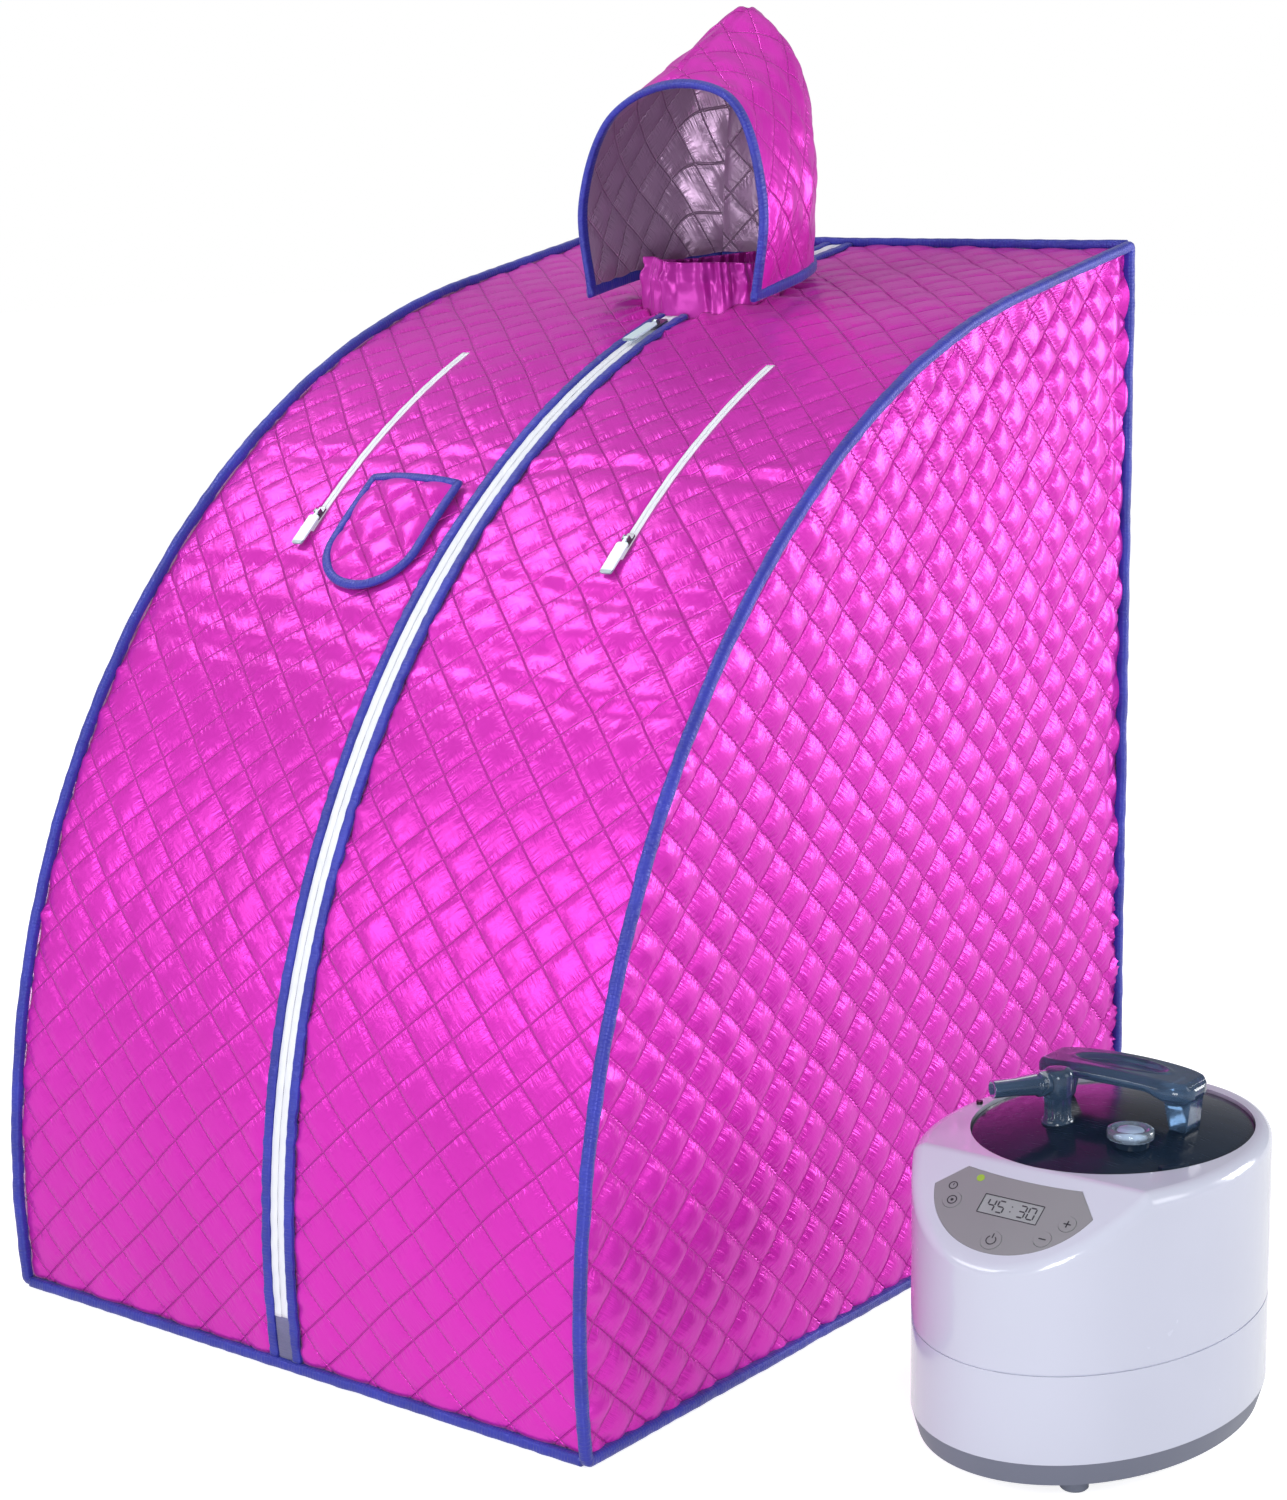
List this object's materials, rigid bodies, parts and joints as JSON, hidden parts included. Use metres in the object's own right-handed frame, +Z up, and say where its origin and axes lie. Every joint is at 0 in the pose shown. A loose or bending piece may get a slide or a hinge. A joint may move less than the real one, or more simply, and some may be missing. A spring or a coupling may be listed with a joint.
{
  "type": "portable steam sauna",
  "caption": "Portable steam sauna: a quilted pole-framed tent with a zipped curved front, neck collar and hood, and a free-standing steam generator.",
  "frame": {"origin": "on the ground, at the middle of the tent's floor", "axes": "+Z up, -Y the curved front of the tent, +X the side where the steam generator stands"},
  "size_m": [1.1295, 0.9238, 1.2222],
  "materials": {
    "magenta_satin": "quilted satin",
    "blue_binding": "woven binding tape",
    "grey_patch": "woven webbing",
    "white_zip": "nylon zip tape and coil",
    "zip_metal": "cast zinc",
    "zip_pull": "moulded pull",
    "floor_cloth": "coated cloth",
    "port_plastic": "moulded",
    "fibreglass": "pultruded rod",
    "ferrule_metal": "drawn tube",
    "fitting_plastic": "moulded",
    "white_housing": "gloss moulded",
    "grey_skirt": "moulded",
    "foot_rubber": "moulded",
    "steel": "stainless",
    "cast_heater": "cast",
    "panel_grey": "membrane film",
    "display": "liquid crystal window",
    "lamp": "tinted lens",
    "board": "circuit board",
    "black_plastic": "moulded",
    "smoked_clear": "smoked transparent moulding",
    "clear_cap": "clear moulding",
    "silicone": "moulded seal"
  },
  "bodies": {
    "tent": {"front_panel_left": "magenta_satin", "front_panel_right": "magenta_satin", "side_panel_left": "magenta_satin", "side_panel_right": "magenta_satin", "back_panel": "magenta_satin", "neck_collar": "magenta_satin", "pocket_patch": "magenta_satin", "bow_piping": "blue_binding", "hem_piping": "blue_binding", "zip_binding": "blue_binding", "pocket_binding": "blue_binding", "hood_tab": "blue_binding", "pole_loops": "blue_binding", "zip_patch": "grey_patch", "floor_panel": "floor_cloth", "main_zip": "white_zip", "arm_zip_left": "white_zip", "arm_zip_right": "white_zip", "steam_port": "port_plastic", "bow_poles_lower": "fibreglass", "bow_poles_middle": "fibreglass", "bow_poles_upper": "fibreglass", "rear_uprights": "fibreglass", "side_rails": "fibreglass", "cross_rails": "fibreglass", "bow_ferrules": "ferrule_metal", "front_corners": "fitting_plastic", "rear_corners": "fitting_plastic", "roof_corners": "fitting_plastic"},
    "hood": {"hood_shell": "magenta_satin", "hood_binding": "blue_binding"},
    "steam_generator": {"base_tray": "grey_skirt", "feet": "foot_rubber", "foot_screws": "steel", "lower_housing": "white_housing", "upper_housing": "white_housing", "power_inlet": "black_plastic", "tank": "steel", "heater": "cast_heater", "thermostat": "cast_heater", "control_panel": "panel_grey", "lcd_window": "display", "led_lamp": "lamp", "control_board": "board", "lock_pin": "black_plastic"},
    "lid_set": {"lid": "smoked_clear", "lid_gasket": "silicone", "lid_handle": "smoked_clear", "steam_outlet": "smoked_clear"},
    "main_slider_body": {"main_slider": "zip_metal"},
    "main_pull_body": {"main_pull": "zip_pull"},
    "arm_slider_left_body": {"arm_slider_left": "zip_metal"},
    "arm_slider_right_body": {"arm_slider_right": "zip_metal"},
    "arm_pull_left_body": {"arm_pull_left": "zip_pull"},
    "arm_pull_right_body": {"arm_pull_right": "zip_pull"},
    "button_power_body": {"button_power": "panel_grey"},
    "button_mode_body": {"button_mode": "panel_grey"},
    "button_minus_body": {"button_minus": "panel_grey"},
    "button_plus_body": {"button_plus": "panel_grey"},
    "relief_valve_body": {"relief_valve": "clear_cap"}
  },
  "joints": [
    {"name": "main_zip_run", "type": "hinge", "parent": "tent", "child": "main_slider_body", "pos_m": [0, 0.39466, 0.10371], "axis": [1, 0, 0], "range_deg": [0, 73.4]},
    {"name": "main_pull_swing", "type": "hinge", "parent": "main_slider_body", "child": "main_pull_body", "pos_m": [0, 0.12207, 0.91388], "axis": [1, 0, 0], "range_deg": [-120, 0]},
    {"name": "hood_fold", "type": "hinge", "parent": "tent", "child": "hood", "pos_m": [0, 0.318, 0.958], "axis": [1, 0, 0], "range_deg": [-75, 0]},
    {"name": "generator_lift", "type": "slide", "parent": "tent", "child": "steam_generator", "axis": [0, 0, 1], "range_m": [0, 0.25]},
    {"name": "lid_lift", "type": "slide", "parent": "steam_generator", "child": "lid_set", "axis": [0, 0, 1], "range_m": [0, 0.12]},
    {"name": "relief_valve_lift", "type": "slide", "parent": "lid_set", "child": "relief_valve_body", "axis": [0, 0, 1], "range_m": [0, 0.003]},
    {"name": "arm_zip_run_left", "type": "hinge", "parent": "tent", "child": "arm_slider_left_body", "pos_m": [0, 0.39466, 0.10371], "axis": [1, 0, 0], "range_deg": [-17, 0]},
    {"name": "arm_pull_swing_left", "type": "hinge", "parent": "arm_slider_left_body", "child": "arm_pull_left_body", "pos_m": [-0.19, -0.17287, 0.74293], "axis": [1, 0, 0], "range_deg": [-120, 0]},
    {"name": "arm_zip_run_right", "type": "hinge", "parent": "tent", "child": "arm_slider_right_body", "pos_m": [0, 0.39466, 0.10371], "axis": [1, 0, 0], "range_deg": [-17, 0]},
    {"name": "arm_pull_swing_right", "type": "hinge", "parent": "arm_slider_right_body", "child": "arm_pull_right_body", "pos_m": [0.19, -0.17287, 0.74293], "axis": [1, 0, 0], "range_deg": [-120, 0]},
    {"name": "power_press", "type": "slide", "parent": "steam_generator", "child": "button_power_body", "axis": [0, 0.5736, -0.8192], "range_m": [0, 0.0005], "stiffness_N_per_m": 600},
    {"name": "mode_press", "type": "slide", "parent": "steam_generator", "child": "button_mode_body", "axis": [0, 0.5736, -0.8192], "range_m": [0, 0.0005], "stiffness_N_per_m": 600},
    {"name": "minus_press", "type": "slide", "parent": "steam_generator", "child": "button_minus_body", "axis": [0, 0.5736, -0.8192], "range_m": [0, 0.0005], "stiffness_N_per_m": 600},
    {"name": "plus_press", "type": "slide", "parent": "steam_generator", "child": "button_plus_body", "axis": [0, 0.5736, -0.8192], "range_m": [0, 0.0005], "stiffness_N_per_m": 600}
  ]
}
